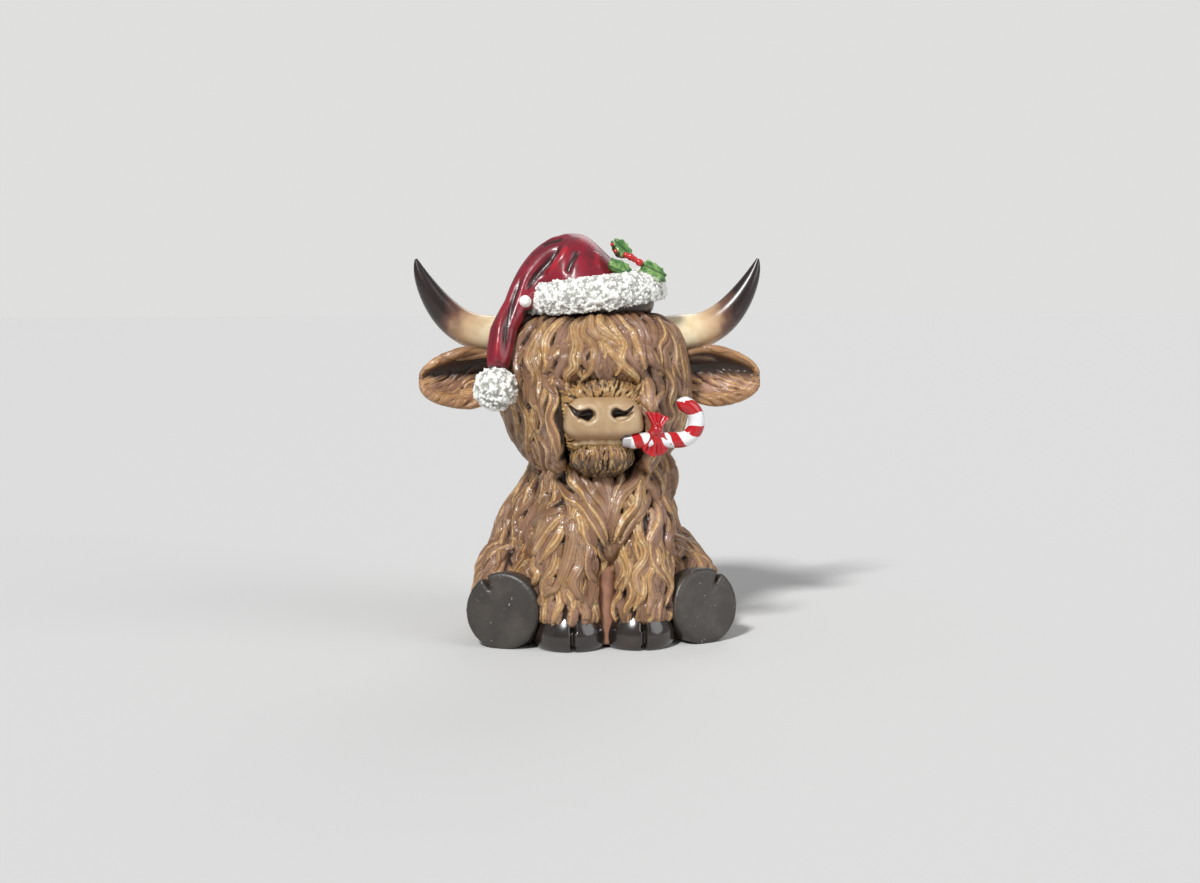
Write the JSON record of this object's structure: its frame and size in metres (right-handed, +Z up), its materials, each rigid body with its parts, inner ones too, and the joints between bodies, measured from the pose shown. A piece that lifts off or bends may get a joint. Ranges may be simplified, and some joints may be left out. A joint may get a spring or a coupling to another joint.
{
  "type": "cow figurine",
  "caption": "Seated long-haired highland cow ornament in painted resin, wearing a floppy red hat with white trim and pompom and holding a candy cane with a bow in its mouth.",
  "frame": {"origin": "on the surface it stands on, under the middle of the seated body", "axes": "+Z up, the cow faces -Y, the hat's tail and pompom hang on the -X side and the candy cane sticks out on the +X side"},
  "size_m": [0.1326, 0.0973, 0.1505],
  "materials": {
    "hair": "brown cast resin, dark wash in the grooves, ochre dry brushed on the ridges, satin lacquer",
    "nose": "beige paint on resin, satin lacquer",
    "front_hoof": "near-black brown paint on resin, gloss lacquer",
    "hind_hoof": "dark grey paint on resin, satin",
    "horn": "cream paint that shades to black at the tip, gloss lacquer",
    "hat_red": "dark crimson paint with a brown wash in the folds, satin lacquer",
    "snow_paste": "grainy white snow paste, dull",
    "holly_green": "green paint with pale brushed edges, satin",
    "berry_red": "red paint, gloss",
    "cane_white": "white paint with red stripes, gloss",
    "bow_red": "bright red paint, gloss"
  },
  "bodies": {
    "root": {"torso": "hair", "head": "hair", "fringe": "hair", "mane": "hair", "back_hair": "hair", "snout": "hair", "chin": "hair", "bib": "hair", "tail": "hair", "front_leg_left": "hair", "front_leg_right": "hair", "thigh_left": "hair", "thigh_right": "hair", "ear_left": "hair", "ear_right": "hair", "nose_pad": "nose", "front_hoof_left": "front_hoof", "front_hoof_right": "front_hoof", "hind_hoof_left": "hind_hoof", "hind_hoof_right": "hind_hoof", "horn_left": "horn", "horn_right": "horn", "hat": "hat_red", "hat_trim": "snow_paste", "pompom": "snow_paste", "holly_leaf_1": "holly_green", "holly_leaf_2": "holly_green", "holly_leaf_3": "holly_green", "holly_berries": "berry_red", "candy_cane": "cane_white", "bow": "bow_red"}
  },
  "joints": []
}
